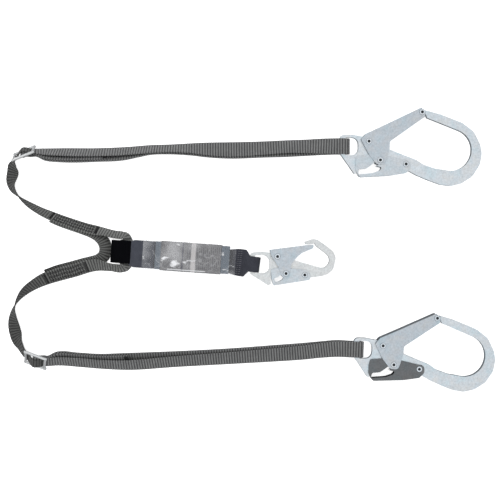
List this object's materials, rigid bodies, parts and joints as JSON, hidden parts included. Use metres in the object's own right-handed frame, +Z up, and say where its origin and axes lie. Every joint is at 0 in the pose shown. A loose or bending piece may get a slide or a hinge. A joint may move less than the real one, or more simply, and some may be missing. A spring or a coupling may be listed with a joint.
{
  "type": "shock absorbing lanyard",
  "caption": "Twin-leg webbing fall-arrest lanyard with adjustable legs, self-locking rebar hooks, a tear-webbing energy absorber in a clear sleeve and a snap hook.",
  "frame": {"origin": "under the middle of the whole lanyard, on the surface it lies on", "axes": "+X from the webbing bends towards the large hooks, +Z up from the surface, +Y towards the upper leg"},
  "size_m": [0.7797, 0.4508, 0.0339],
  "materials": {
    "leg_webbing": "ribbed polyester webbing",
    "keeper_webbing": "black woven pad",
    "thread": "black bonded thread",
    "plated_bar": "zinc plated",
    "absorber_webbing": "blue-grey tear webbing",
    "dark_webbing": "dark blue-grey webbing",
    "clear_film": "glossy clear film",
    "label": "printed film",
    "forged_steel": "bright zinc plate",
    "pressed_steel": "bright zinc plate",
    "lever_steel": "bright zinc plate",
    "rivet_steel": "zinc plate",
    "spring_steel": "bare spring wire"
  },
  "bodies": {
    "lanyard": {"upper_leg_strap": "leg_webbing", "lower_leg_strap": "leg_webbing", "bridge_strap": "leg_webbing", "keeper_pad": "keeper_webbing", "upper_tail_stitching": "thread", "lower_tail_stitching": "thread", "upper_junction_stitching": "thread", "lower_junction_stitching": "thread", "hook_loop_stitching": "thread", "upper_slide": "plated_bar", "lower_slide": "plated_bar", "absorber_core": "absorber_webbing", "absorber_leg_loop": "absorber_webbing", "absorber_hook_loop": "dark_webbing", "clear_sleeve": "clear_film", "label_wrap": "label"},
    "upper_hook": {"upper_hook_body": "forged_steel", "upper_lever_spring": "spring_steel"},
    "upper_gate": {"upper_hook_gate": "pressed_steel", "upper_gate_rivet": "rivet_steel", "upper_lock_pin": "rivet_steel", "upper_gate_spring": "spring_steel", "upper_tip_rivet": "rivet_steel"},
    "upper_lever": {"upper_hook_lever": "lever_steel", "upper_lever_rivet": "rivet_steel"},
    "lower_hook": {"lower_hook_body": "forged_steel", "lower_lever_spring": "spring_steel"},
    "lower_gate": {"lower_hook_gate": "pressed_steel", "lower_gate_rivet": "rivet_steel", "lower_lock_pin": "rivet_steel", "lower_gate_spring": "spring_steel", "lower_tip_rivet": "rivet_steel"},
    "lower_lever": {"lower_hook_lever": "lever_steel", "lower_lever_rivet": "rivet_steel"},
    "snap_hook": {"snap_hook_body": "forged_steel", "snap_lever_spring": "spring_steel"},
    "snap_gate": {"snap_hook_gate": "pressed_steel", "snap_gate_rivet": "rivet_steel", "snap_lock_pin": "rivet_steel", "snap_gate_spring": "spring_steel"},
    "snap_lever": {"snap_hook_lever": "lever_steel", "snap_lever_rivet": "rivet_steel"}
  },
  "joints": [
    {"name": "upper_hook_swing", "type": "hinge", "parent": "lanyard", "child": "upper_hook", "pos_m": [0.1458, 0.1641, 0.01277], "axis": [-0.0011, -0.9995, -0.0314], "range_deg": [0, 85]},
    {"name": "upper_gate_open", "type": "hinge", "parent": "upper_hook", "child": "upper_gate", "pos_m": [0.18738, 0.1719, 0.01156], "axis": [0.0349, -0.0314, 0.9989], "range_deg": [-35, 0], "stiffness_Nm_per_rad": 0.25, "springref_deg": 20.05},
    {"name": "upper_lever_press", "type": "hinge", "parent": "upper_hook", "child": "upper_lever", "pos_m": [0.24691, 0.13631, 0.00836], "axis": [0.0349, -0.0314, 0.9989], "range_deg": [-10, 0], "deforming": ["upper_lever_spring"]},
    {"name": "lower_hook_swing", "type": "hinge", "parent": "lanyard", "child": "lower_hook", "pos_m": [0.1678, -0.1572, 0.01277], "axis": [-0.036, -0.9989, -0.0314], "range_deg": [0, 85]},
    {"name": "lower_gate_open", "type": "hinge", "parent": "lower_hook", "child": "lower_gate", "pos_m": [0.20963, -0.15086, 0.01156], "axis": [0.0338, -0.0326, 0.9989], "range_deg": [-35, 0], "stiffness_Nm_per_rad": 0.25, "springref_deg": 20.05},
    {"name": "lower_lever_press", "type": "hinge", "parent": "lower_hook", "child": "lower_lever", "pos_m": [0.26788, -0.1885, 0.00836], "axis": [0.0338, -0.0326, 0.9989], "range_deg": [-10, 0], "deforming": ["lower_lever_spring"]},
    {"name": "snap_hook_swing", "type": "hinge", "parent": "lanyard", "child": "snap_hook", "pos_m": [0.00396, -0.02247, 0.01249], "axis": [0, -1, 0], "range_deg": [0, 85]},
    {"name": "snap_gate_open", "type": "hinge", "parent": "snap_hook", "child": "snap_gate", "pos_m": [0.04311, -0.01027, 0.01057], "axis": [0.0489, 0, 0.9988], "range_deg": [-26, 0], "stiffness_Nm_per_rad": 0.12, "springref_deg": 20.05},
    {"name": "snap_lever_press", "type": "hinge", "parent": "snap_hook", "child": "snap_lever", "pos_m": [0.08646, -0.03957, 0.00845], "axis": [0.0489, 0, 0.9988], "range_deg": [-9, 0], "deforming": ["snap_lever_spring"]}
  ],
  "couplings": [
    {"joint": "upper_lever_press", "follows": "upper_gate_open", "ratio": 0.28571},
    {"joint": "lower_lever_press", "follows": "lower_gate_open", "ratio": 0.28571},
    {"joint": "snap_lever_press", "follows": "snap_gate_open", "ratio": 0.34615}
  ]
}
